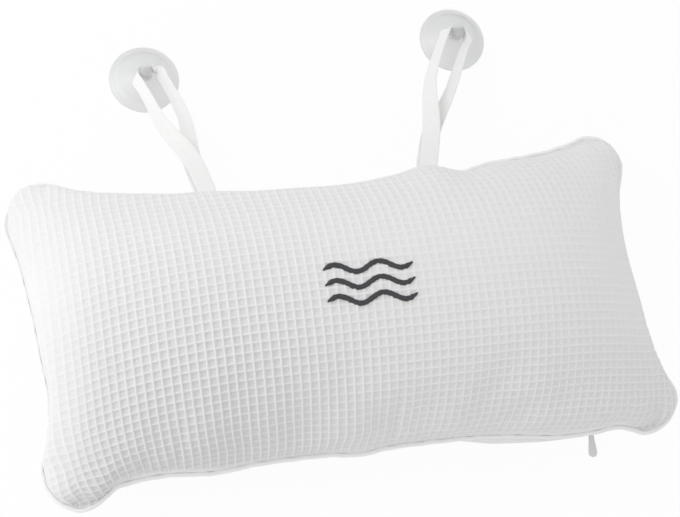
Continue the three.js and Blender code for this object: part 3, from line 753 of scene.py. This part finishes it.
def panel(name, dome, node):
    moved = puckers(dome)
    bm, flat, plan, inside, spots = cut_cloth(dome, CUTS)
    shift = sampled(moved, *(flat + (dome.columns, dome.rows)).T)
    spots += shift * ramp(inside, 0, 4)[:, None]
    spots = settled_cloth(spots, plan, inside, dome.facing)
    mesh = mesh_from(bm, name)
    set_spots(mesh, spots)
    if dome.facing < 0:
        mesh.flip_normals()
    ways = np.zeros(len(mesh.vertices) * 3, np.float32)
    mesh.vertex_normals.foreach_get("vector", ways)
    # the share of full depth for each hollow, which the shader also paints as shade
    hollow_depth_and_shade = 1 - ribs(flat, *plan.T)
    hollow_depth_and_shade *= ramp(inside, 0.2, 1.4) * relief(*plan.T)
    sunk = HOLLOW * hollow_depth_and_shade
    if dome.facing > 0:
        sunk += folds(plan) * ramp(inside, 0, 5)
    set_spots(mesh, spots - sunk[:, None] * ways.reshape(-1, 3))
    keep_weave(mesh, flat, hollow_depth_and_shade)
    made = piece(name, mesh, WAFFLE, "cover", "waffle_cloth", node)
    return made


front = panel("front_cloth", Dome(CROWN, 1), "front_panel")
panel("back_cloth", Dome(BACK_DEPTH, -1), "back_panel")


# Piping

PIPING_RADIUS = 1.35
PIPING_OUT = 1.7  # from the seam to the middle of the piping


def piping():
    def place(s, t):
        index = (s * len(SEAM)).astype(int) % len(SEAM)
        angle = FULL_TURN * t
        wave = wobble(s, (0.12, FULL_TURN * 71, 0), (0.08, FULL_TURN * 113, 1))
        radius = PIPING_RADIUS * (1 + 0.03 * np.sin(s * FULL_TURN * 190 + 3 * angle))
        out = PIPING_OUT + wave + radius * np.cos(angle)
        plan = SEAM[index] + SEAM_OUT[index] * out[:, None]
        return np.column_stack((plan + settle(plan), SEAM_HEIGHT + radius * np.sin(angle)))

    bm = laid(len(SEAM) // 3, 14, place, join=0.01, size=(SEAM_LENGTH, FULL_TURN * PIPING_RADIUS))
    piece("piping", bm, PIPING_CLOTH, "cover", "piping_cloth", "piping_cover", "piping_cord")


piping()


# Straps

TAPE_WIDTH, TAPE_BESIDE_KNOB, TAPE_GATHERED = 12.0, 8.2, 4.0
TAPE_THICKNESS, GATHERED_THICKNESS = 1.0, 1.6
PLY_REST = 0.7  # from the middle of the sewn place up or down to either tape end
PLY_SHIFT = 0.9  # how far each end is off it sideways
TAIL = 10.0  # length of tape inside the seam
LEG_SPREAD = 8.2  # from the middle of the loop to either leg, beside the knob
TAPE_SHOULDER = 3.2  # how far before the hole the legs turn into it
MOUTH = 5.1  # from the middle of the knob to the mouth of its hole
OVER_CUP = 1.8  # how far the legs keep up over the cup
TAPE_TWIST, LEGS_TWIST = 48, 84  # degrees that each leg, and the pair, turn on the way
TAPE_ROUND, FACE_ROUND = 0.35, 0.6  # powers that make the tape's section flat
SELVEDGE, SELVEDGE_AT, SELVEDGE_WIDTH = 0.18, 0.86, 0.07  # thicker edge, in shares of the tape
WEAVE_LENGTH = 215.0  # length of tape that the weave map stands for


def square_to(along, turn):
    """The way across a tape that runs along and is turned out of the flat."""
    wide = np.array((math.cos(turn), 0, math.sin(turn)))
    return unit(wide - along * (wide @ along))


def leg_pair(share, spot, along):
    """Stations of both legs at a share of the way from the seam to the knob. They lie on each other
    at the seam, then twist and part."""
    twisted = ramp(share, 0.05, 0.65)
    wide = square_to(along, math.radians(TAPE_TWIST) * twisted)
    apart = np.cross(square_to(along, math.radians(LEGS_TWIST) * twisted), along)
    spread = PLY_REST + (LEG_SPREAD - PLY_REST) * ramp(share, 0.05, 0.7)
    width = TAPE_WIDTH + (TAPE_BESIDE_KNOB - TAPE_WIDTH) * ramp(share, 0.2, 1)
    lifted = spot + (0, 0, OVER_CUP * ramp(share, 0.5, 0.85))
    leg = spread * apart + PLY_SHIFT * (1 - ramp(share, 0, 0.5)) * wide
    return [(*(lifted + side * leg), *wide, width, TAPE_THICKNESS) for side in (1, -1)]


def strap_stations(root, hole):
    """Middle, width direction, width and thickness of the tape along the loop, from its one sewn
    end through the knob to the other."""
    run = hole - root
    sideways = unit(run * (1, 1, 0))
    middle = curve_run(
        root, root + run * (0.24, 0.33, 0.33), hole - run * (0.44, 0.33, 0.33),
        hole - TAPE_SHOULDER * sideways, 400,
    )
    reached = travelled(middle)
    legs = []
    for share in np.linspace(0, 1, 16):
        at = min(int(np.searchsorted(reached, share * reached[-1])), len(middle) - 2)
        legs.append(leg_pair(share, middle[at], unit(middle[at + 1] - middle[at])))
    upper, lower = zip(*legs)
    crossing = [(*(hole + (part * MOUTH, 0, 0)), 0, 0, 1, TAPE_GATHERED, GATHERED_THICKNESS)
                for part in (-0.9, 0, 0.9)]
    above, below = (
        [(*(root + (0, -back_by, rise)), 1, 0, 0, TAPE_WIDTH, TAPE_THICKNESS)
         for back_by in (TAIL, TAIL / 2)] for rise in (PLY_REST, -PLY_REST))
    return np.array([*above, *upper, *crossing, *lower[::-1], *below[::-1]])


def strap(side):
    root, hole = joint_spot(f"{side}_strap_swing"), joint_spot(f"{side}_cup_tilt")
    sewn = np.array((*(root[:2] + settle(root[None, :2])[0]), root[2]))
    stations = strap_stations(sewn, hole)[:, None, :]
    count = len(stations) - 1

    def place(s, t):
        still = np.zeros_like(s)
        row = sampled(stations, s * count, still)
        ahead = sampled(stations[..., :3], np.minimum(s * count + 0.05, count), still)
        behind = sampled(stations[..., :3], np.maximum(s * count - 0.05, 0), still)
        along = unit(ahead - behind)
        wide = unit(row[:, 3:6] - along * np.einsum("ij,ij->i", row[:, 3:6], along)[:, None])
        deep = np.cross(along, wide)
        flat = signed_power(np.cos(FULL_TURN * t), TAPE_ROUND)
        thick = signed_power(np.sin(FULL_TURN * t), FACE_ROUND)
        edge = 1 + SELVEDGE * np.exp(-((abs(flat) - SELVEDGE_AT) / SELVEDGE_WIDTH) ** 2)
        across = (row[:, 6] / 2 * flat)[:, None]
        lift = (row[:, 7] / 2 * thick * edge)[:, None]
        return row[:, :3] + wide * across + deep * lift

    bm = laid(190, 32, place, join=0.004, size=(WEAVE_LENGTH, 2 * TAPE_WIDTH))
    made = piece(f"strap_loop_{side}", bm, TAPE_CLOTH, None, "strap_tape",
                 f"strap_{side}", f"strap_tail_{side}")
    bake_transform(made)


for side in SIDES:
    strap(side)


# Suction cups

CUP_RADIUS, CUP_LIP, CUP_HOLLOW, CUP_DOME = 23.0, 1.6, 7.0, 9.0
CUP_RIM = ((0.35, 0), (0, 0.3), (0.05, 0.75), (0.5, 1.05))  # in from the radius, and up
RIM_HEIGHT, DOME_CURVE = 0.9, 1.15  # where the top of the cup starts, and the power of its rise
RING_HEIGHT, RING_AT, RING_WIDTH = 0.35, 0.2, 0.05  # raised ring, and its share of the way in
KNOB_RADIUS, KNOB_FOOT, KNOB_ROUNDING, KNOB_HEIGHT = 4.8, 1.2, 2.0, 19.0
KNOB_RINGS = (13.0, 15.5)  # heights of the points beside the hole
HOLE_HEIGHT, HOLE_RADIUS = 14.5, 2.5


def cup_profile():
    """Half of the cup's section from the middle of the hollow round to the top of the knob."""
    bowl = CUP_RADIUS - CUP_LIP
    under = [(bowl * share, CUP_HOLLOW * (1 - share**2)) for share in np.linspace(0, 1, 14)]
    rim = [(CUP_RADIUS - back, up) for back, up in CUP_RIM]
    over = []
    foot = KNOB_RADIUS + KNOB_FOOT
    for share in np.linspace(0.06, 1, 16):
        radius = CUP_RADIUS + (foot - CUP_RADIUS) * share
        rise = RIM_HEIGHT + (CUP_DOME - RIM_HEIGHT) * share**DOME_CURVE
        ring = RING_HEIGHT * math.exp(-(((share - RING_AT) / RING_WIDTH) ** 2))
        over.append((radius, rise + ring))
    knob = [(KNOB_RADIUS + 0.4, CUP_DOME + 0.5), (KNOB_RADIUS, CUP_DOME + KNOB_FOOT)]
    knob += [(KNOB_RADIUS, height) for height in KNOB_RINGS]
    for angle in np.radians(np.linspace(0, 90, 8)):
        knob.append((KNOB_RADIUS * math.cos(angle),
                     KNOB_HEIGHT - KNOB_ROUNDING + KNOB_ROUNDING * math.sin(angle)))
    knob[-1] = (0.0, KNOB_HEIGHT)
    return [*under, *rim, *over, *knob]


def knob_drill(middle):
    """A rod across the knob, to cut its hole with."""
    bm = bmesh.new()
    place = Matrix.Translation(middle + Vector((0, 0, HOLE_HEIGHT * MM)))
    bmesh.ops.create_cone(bm, cap_ends=True, segments=32, radius1=HOLE_RADIUS * MM,
                          radius2=HOLE_RADIUS * MM, depth=4 * KNOB_RADIUS * MM,
                          matrix=place @ Matrix.Rotation(math.pi / 2, 4, "Y"))
    return linked("drill", mesh_from(bm, "drill"))


def cut_out(made, drill):
    """Cuts the drill's shape out of a piece, and removes the drill."""
    cut = made.modifiers.new("hole", "BOOLEAN")
    cut.operation = "DIFFERENCE"
    cut.solver = "EXACT"
    cut.object = drill
    bored = bpy.data.meshes.new_from_object(evaluated(made))
    made.modifiers.clear()
    made.data = bored
    bored.name = made.name
    bpy.data.objects.remove(drill)


def cup(side):
    hole = joint_spot(f"{side}_cup_tilt")
    bm = bmesh.new()
    spots = [bm.verts.new((r * MM, 0, z * MM)) for r, z in cup_profile()]
    edges = [bm.edges.new(pair) for pair in zip(spots, spots[1:])]
    bmesh.ops.spin(bm, geom=[*spots, *edges], cent=(0, 0, 0), axis=(0, 0, 1),
                   angle=FULL_TURN, steps=72, use_merge=True)
    bmesh.ops.remove_doubles(bm, verts=bm.verts, dist=1e-6)
    bmesh.ops.recalc_face_normals(bm, faces=bm.faces)
    middle = Vector((hole[0], hole[1], 0)) * MM
    bmesh.ops.translate(bm, verts=bm.verts, vec=middle)
    made = piece(f"suction_cup_{side}", bm, CUP_PLASTIC, None, "cup_plastic", f"cup_{side}")
    cut_out(made, knob_drill(middle))
    made.data.set_sharp_from_angle(angle=math.radians(40))
    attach(made, f"{side}_cup")


for side in SIDES:
    cup(side)


# Zip, in a leaning frame whose -Y points out of the pillow and whose Z is 0 at the seam

ZIP_TOP, ZIP_MIDDLE, ZIP_FOOT = -0.7, -5.42, -10.2
ZIP_SLIT = 0.15  # from the middle to the edge of either tape
TAPE_INSIDE, ZIP_TAPE_THICKNESS = 0.3, 0.6
ZIP_END_GAP = 0.3  # from the end of the zip's run to the end of its tapes
GUARD_START, GUARD_END, GUARD_WIDTH, GUARD_THICKNESS = 38.0, 142.0, 5.6, 0.7
GUARD_UNDER, GUARD_DROP = 1.9, 0.9  # below the seam, and how much lower its free edge hangs
TOOTH_PITCH, TOOTH_WIDTH, TOOTH_DEPTH = 1.5, 0.62, 1.5
TOOTH_REACH, TOOTH_LAP = 1.9, 0.5  # from the slit, and how much longer each tooth is than that
TOOTH_OUT, TOOTH_BEVEL = 0.85, 0.2
TOOTH_LEAN = math.radians(9)
TEETH_HALF_RUN = 147.6
ZIP_PLACE = (Matrix.Translation((0, ZIP_EDGE * MM, SEAM_HEIGHT * MM))
             @ Matrix.Rotation(ZIP_LEAN, 4, "X"))


def zip_tape(name, low, high, node):
    def place(s, t):
        x = (2 * s - 1) * (ZIP_HALF_RUN - ZIP_END_GAP)
        ripple = wobble(x, (0.12, 0.21, 0), (0.08, 0.47, 2))
        return np.column_stack((x, TAPE_INSIDE + ripple, low + (high - low) * t))

    bm = laid(220, 8, place, size=(2 * ZIP_HALF_RUN, high - low))
    bmesh.ops.transform(bm, matrix=ZIP_PLACE, verts=bm.verts)
    thicken(bm, ZIP_TAPE_THICKNESS)
    piece(name, bm, ZIP_CLOTH, "cover", "zip_tape", node)


def zip_guard():
    """A narrow strip of cloth under the piping that hides the zip, with its free edge showing."""
    def place(s, t):
        x = GUARD_START + (GUARD_END - GUARD_START) * s
        shown = GUARD_WIDTH * ramp(s, 0, 0.4) * (1 - 0.6 * ramp(s, 0.4, 1))
        ripple = wobble(x, (0.25, 0.11, 0), (0.15, 0.27, 1))
        edge = np.column_stack((x, np.full_like(x, ZIP_EDGE)))
        edge += settle(edge)
        return np.column_stack((edge[:, 0], edge[:, 1] + 1 - (1 + shown) * t,
                                SEAM_HEIGHT - GUARD_UNDER - GUARD_DROP * t + ripple * t))

    bm = laid(160, 8, place, size=(GUARD_END - GUARD_START, GUARD_WIDTH))
    thicken(bm, GUARD_THICKNESS)
    piece("zip_guard", bm, PIPING_CLOTH, "cover", "piping_cloth")


zip_guard()
zip_tape("zip_tape_upper", ZIP_MIDDLE + ZIP_SLIT, ZIP_TOP, "zip_tape_front")
zip_tape("zip_tape_lower", ZIP_FOOT, ZIP_MIDDLE - ZIP_SLIT, "zip_tape_back")


def tooth_row(name, side, shift, node):
    """A row of nylon teeth above (1) or below (-1) the slit: each is one turn of the coil, a short
    leaning bar across the row."""
    middle = ZIP_MIDDLE + side * (ZIP_SLIT + TOOTH_REACH / 2)
    size = Vector((TOOTH_WIDTH, TOOTH_DEPTH, TOOTH_REACH + TOOTH_LAP)) * MM
    lean = Matrix.Rotation(TOOTH_LEAN, 3, "Y")
    bm = bmesh.new()
    for number in range(int(2 * TEETH_HALF_RUN / TOOTH_PITCH)):
        x = -TEETH_HALF_RUN + (number + 0.5 + shift) * TOOTH_PITCH
        tooth = bmesh.ops.create_cube(bm, size=1)["verts"]
        bmesh.ops.scale(bm, vec=size, verts=tooth)
        bmesh.ops.rotate(bm, cent=(0, 0, 0), verts=tooth, matrix=lean)
        bmesh.ops.translate(bm, vec=Vector((x, -TOOTH_OUT, middle)) * MM, verts=tooth)
    bmesh.ops.bevel(bm, geom=bm.edges, offset=TOOTH_BEVEL * MM, offset_type="OFFSET", segments=1,
                    profile=0.5, affect="EDGES", material=-1)
    bmesh.ops.transform(bm, matrix=ZIP_PLACE, verts=bm.verts)
    piece(name, bm, ZIP_NYLON, "cover", "zip_plastic", node)


tooth_row("zip_teeth_upper", 1, 0.0, "zip_coil_front")
tooth_row("zip_teeth_lower", -1, 0.5, "zip_coil_back")


def rounded(name, node, width, finish, body, slot, segments=2):
    """A copy of a moulded CAD piece with its edges rounded."""
    same_face, corner, crease = (math.radians(angle) for angle in (2, 35, 50))
    bm = bmesh.new()
    bm.from_mesh(frame["nodes"][node].data)
    bmesh.ops.remove_doubles(bm, verts=bm.verts, dist=1e-6)
    bmesh.ops.dissolve_limit(bm, angle_limit=same_face, verts=bm.verts, edges=bm.edges)
    sharp = [e for e in bm.edges if e.is_manifold and e.calc_face_angle(0) > corner]
    bmesh.ops.bevel(bm, geom=sharp, offset=width * MM, offset_type="OFFSET", segments=segments,
                    profile=0.5, affect="EDGES", material=-1, clamp_overlap=True)
    made = piece(name, bm, finish, body, slot, node)
    made.data.set_sharp_from_angle(angle=crease)


rounded("zip_stop_left", "zip_stop_open_end", 0.35, ZIP_NYLON, "cover", "zip_plastic")
rounded("zip_stop_right", "zip_stop_closed_end", 0.35, ZIP_NYLON, "cover", "zip_plastic")
rounded("zip_runner", "zip_slider", 0.2, ZIP_NYLON, "slider", "zip_plastic")
rounded("zip_drop_pull", "zip_pull", 0.4, PULL_PLASTIC, "pull", "pull_plastic", segments=3)


# Inner cushion

CUSHION_HALF_LENGTH, CUSHION_HALF_WIDTH, CUSHION_INSET = 178.0, 75.0, 9.0
CUSHION_RISE, CUSHION_DEPTH, CUSHION_LOWEST = 52.0, 40.0, 4.0
CUSHION_CORNERS, CUSHION_EDGE = 0.6, 0.8  # powers that square its outline and its edge


def inner_cushion():
    """The lined cushion inside the cover, a little smaller than it all round. It gives way where the
    top edge has settled in."""
    def place(s, t):
        angle = FULL_TURN * s
        lift = math.pi * (t - 0.5)
        out = abs(np.cos(lift)) ** CUSHION_EDGE
        x = CUSHION_HALF_LENGTH * signed_power(np.cos(angle), CUSHION_CORNERS) * out
        y = CUSHION_HALF_WIDTH * signed_power(np.sin(angle), CUSHION_CORNERS) * out
        fill = np.sqrt(np.prod(fullness(x, y, CUSHION_INSET), axis=0))
        under = np.maximum(CUSHION_LOWEST, SEAM_HEIGHT - CUSHION_DEPTH * fill)
        z = np.where(lift > 0, SEAM_HEIGHT + CUSHION_RISE * fill, under)
        settled = settle(np.column_stack((x, y)))[:, 1]
        return np.column_stack((x, y + np.where(y > 0, settled, 0), z))

    bm = laid(120, 48, place, join=0.05, size=(500, 300))
    made = piece("inner_cushion", bm, LINING, "cover", "lining_cloth",
                 "inner_case_front", "inner_case_back", "fibre_filling")


inner_cushion()


# Embroidery

WAVE_HALF_LENGTH, WAVE_LENGTH, WAVE_SWING, WAVE_GAP = 27.0, 27.0, 2.6, 9.5
WAVES_X, WAVES_Y = -0.7, 1.4  # their middle
STITCH_WIDTH, STITCH_SLANT = 3.4, 0.3
STITCH_HEIGHT, THREAD_HEIGHT, STITCH_SUNK = 0.75, 0.2, 0.7
STITCHES = int(2 * WAVE_HALF_LENGTH / 0.5)  # threads side by side along a line, 0.5 mm each
TAPER = 5.0  # length over which the ends of a line get narrower


def wavy(x, line):
    """Y of a wavy line, for x from the middle of the lines."""
    return WAVES_Y - WAVE_GAP * line + WAVE_SWING * np.sin(FULL_TURN * x / WAVE_LENGTH)


def cloth_top(tree, x, y):
    """Height of the waffle's raised threads round a spot."""
    rays = [tree.ray_cast(Vector((x + a, y + b, 200)) * MM, Vector((0, 0, -1)))[0]
            for a in (-2, 0, 2) for b in (-2, 0, 2)]
    return max(hit.z for hit in rays) / MM


def stitched_line(tree, line):
    """One line of satin stitch: threads side by side across it, high in the middle and sunk at their
    ends into the cloth."""
    shares = np.linspace(0, 1, 28)
    along = WAVE_HALF_LENGTH * (2 * shares - 1)
    tops = [cloth_top(tree, x + WAVES_X, y) for x, y in zip(along, wavy(along, line))]

    def place(s, t):
        x = WAVE_HALF_LENGTH * (2 * s - 1)
        slope = WAVE_SWING * FULL_TURN / WAVE_LENGTH * np.cos(FULL_TURN * x / WAVE_LENGTH)
        across = unit(np.column_stack((STITCH_SLANT - slope, np.ones_like(slope))))
        thread = s * STITCHES
        uneven = wobble(np.floor(thread), (0.06, 7.3, 0), (0.05, 3.1, 0))
        taper = np.minimum(1, (WAVE_HALF_LENGTH - abs(x)) / TAPER + 0.3)
        reach = (t - 0.5) * STITCH_WIDTH * taper * (1 + uneven)
        round_thread = abs(np.sin(math.pi * thread)) ** 0.6
        high = STITCH_HEIGHT * (1 - (2 * t - 1) ** 4) + THREAD_HEIGHT * round_thread
        high = np.where(abs(2 * t - 1) > 0.99, -STITCH_SUNK, high)
        lift = np.interp(s, shares, tops) + high
        return np.column_stack((x + WAVES_X + across[:, 0] * reach,
                                wavy(x, line) + across[:, 1] * reach, lift))

    return laid(4 * STITCHES, 12, place, size=(2 * WAVE_HALF_LENGTH, STITCH_WIDTH))


def embroidery(cloth):
    """Three short wavy lines on the front cloth."""
    tree = BVHTree.FromObject(cloth, bpy.context.evaluated_depsgraph_get())
    bm = bmesh.new()
    for line in (-1, 0, 1):
        mesh = mesh_from(stitched_line(tree, line), "line")
        bm.from_mesh(mesh)
        bpy.data.meshes.remove(mesh)
    piece("embroidered_waves", bm, THREAD, "cover", None)


embroidery(front)


# Floor, light, camera

FLOOR_HALF_SIZE, FLOOR_DROP = 4000.0, 0.4
FLOOR_WHITE = 0.94  # share of plain white in what is seen of it
WHITE = (1, 1, 1, 1)
LIT_SPOT = Vector((0, 30, 50))  # the lamps face it
CAMERA_SPOT = Vector((-199.87, -187.25, 910.74))
CAMERA_TURN = (15.5962, -10.6565, -8.3822)  # degrees about X, Y and Z


def floor_paint():
    paint = bpy.data.materials.new("pale floor")
    paint.use_nodes = True
    tree = paint.node_tree
    tree.nodes.clear()
    rays = add_node(tree, "LightPath").outputs
    seen = rays["Is Camera Ray"]
    for other in ("Is Glossy Ray", "Is Transmission Ray"):
        seen = add_node(tree, "Math", {0: seen, 1: rays[other]}, operation="MAXIMUM").outputs[0]
    share = add_node(tree, "Math", {0: seen, 1: FLOOR_WHITE}, operation="MULTIPLY").outputs[0]
    lit = add_node(tree, "BsdfDiffuse", {"Color": (0.93, 0.93, 0.93, 1)}).outputs[0]
    white = add_node(tree, "Emission", {"Color": WHITE}).outputs[0]
    mixed = add_node(tree, "MixShader", {0: share, 1: lit, 2: white}).outputs[0]
    add_node(tree, "OutputMaterial", {0: mixed})
    return paint


def soft_floor():
    """A plain pale floor that keeps the shadow and shows as white."""
    bm = bmesh.new()
    bmesh.ops.create_grid(bm, x_segments=1, y_segments=1, size=FLOOR_HALF_SIZE * MM)
    bmesh.ops.translate(bm, verts=bm.verts, vec=(0, 0, -FLOOR_DROP * MM))
    mesh = mesh_from(bm, "floor")
    mesh.materials.append(floor_paint())
    linked("floor", mesh)


def studio_sky(level):
    """Even white light from all round, which the camera sees as white."""
    world = bpy.data.worlds.new("studio")
    scene.world = world
    world.use_nodes = True
    tree = world.node_tree
    tree.nodes.clear()
    seen = add_node(tree, "LightPath").outputs["Is Camera Ray"]
    light = add_node(tree, "Background", {"Color": WHITE, "Strength": level}).outputs[0]
    white = add_node(tree, "Background", {"Color": WHITE}).outputs[0]
    mixed = add_node(tree, "MixShader", {0: seen, 1: light, 2: white}).outputs[0]
    add_node(tree, "OutputWorld", {0: mixed})


def soft_box(name, heading, distance, size, power):
    """A square lamp that lies along the heading from the lit spot and faces it."""
    lamp = bpy.data.lights.new(name, "AREA")
    lamp.shape = "SQUARE"
    lamp.size = size * MM
    lamp.energy = power
    box = linked(name, lamp)
    heading = Vector(heading).normalized()
    box.location = (heading * distance + LIT_SPOT) * MM
    box.rotation_mode = "QUATERNION"
    box.rotation_quaternion = heading.to_track_quat("Z", "Y")


def camera():
    """The photograph's viewing angle."""
    lens = bpy.data.cameras.new("camera")
    lens.lens = 77.37
    lens.sensor_width = 36
    lens.clip_start = 10 * MM
    lens.clip_end = 20000 * MM
    viewer = linked("camera", lens)
    turn = Euler([math.radians(degrees) for degrees in CAMERA_TURN])
    viewer.matrix_world = Matrix.Translation(CAMERA_SPOT * MM) @ turn.to_matrix().to_4x4()
    scene.camera = viewer


soft_floor()
studio_sky(0.785)
soft_box("key light", (-0.4, 0.33, 0.48), 700, 400, 1.0)
soft_box("white card", (-1.0, -0.3, 0.25), 600, 300, 0.36)
camera()
scene.view_settings.view_transform = "Standard"
